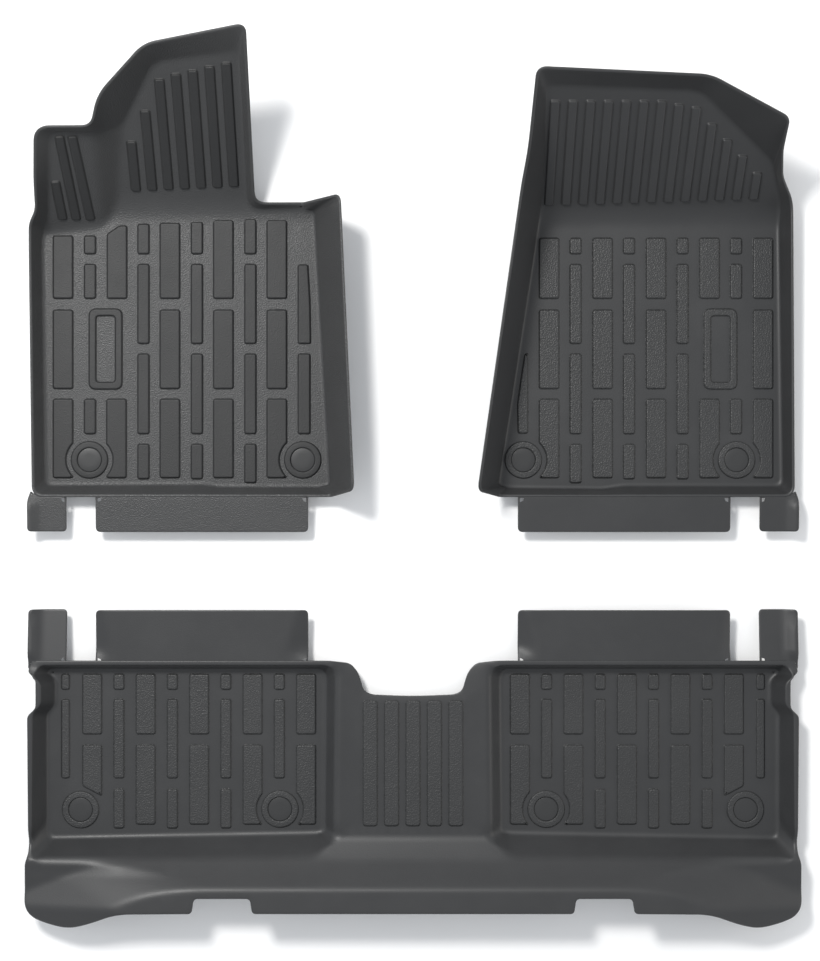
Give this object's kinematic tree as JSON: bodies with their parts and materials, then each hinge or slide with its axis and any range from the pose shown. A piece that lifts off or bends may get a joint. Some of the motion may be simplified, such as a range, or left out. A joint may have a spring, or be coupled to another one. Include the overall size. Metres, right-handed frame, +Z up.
{
  "type": "vehicle floor liner set",
  "caption": "Set of deep moulded car floor liners with raised rims, ribbed toe-boards, tread pads and snap anchors: driver, passenger and one-piece rear.",
  "frame": {"origin": "middle of the set's box, on the floor that the liners lie on", "axes": "+X to the car's right, +Y to its front, +Z up"},
  "size_m": [1.3836, 1.5571, 0.2429],
  "materials": {
    "liner_tpe": "satin grained black",
    "anchor_cap": "matte black",
    "anchor_socket": "matte dark grey"
  },
  "bodies": {
    "rear": {"rear_liner": "liner_tpe", "rear_left_inboard_cap": "anchor_cap", "rear_left_outboard_cap": "anchor_cap", "rear_right_inboard_cap": "anchor_cap", "rear_right_outboard_cap": "anchor_cap", "rear_left_inboard_socket": "anchor_socket", "rear_left_outboard_socket": "anchor_socket", "rear_right_inboard_socket": "anchor_socket", "rear_right_outboard_socket": "anchor_socket"},
    "driver": {"driver_liner": "liner_tpe", "driver_inboard_cap": "anchor_cap", "driver_outboard_cap": "anchor_cap", "driver_inboard_socket": "anchor_socket", "driver_outboard_socket": "anchor_socket"},
    "passenger": {"passenger_liner": "liner_tpe", "passenger_inboard_cap": "anchor_cap", "passenger_outboard_cap": "anchor_cap", "passenger_inboard_socket": "anchor_socket", "passenger_outboard_socket": "anchor_socket"}
  },
  "joints": [
    {"name": "driver_lift", "type": "slide", "parent": "rear", "child": "driver", "axis": [0, 0, 1], "range_m": [0, 0.35]},
    {"name": "passenger_lift", "type": "slide", "parent": "rear", "child": "passenger", "axis": [0, 0, 1], "range_m": [0, 0.35]}
  ]
}
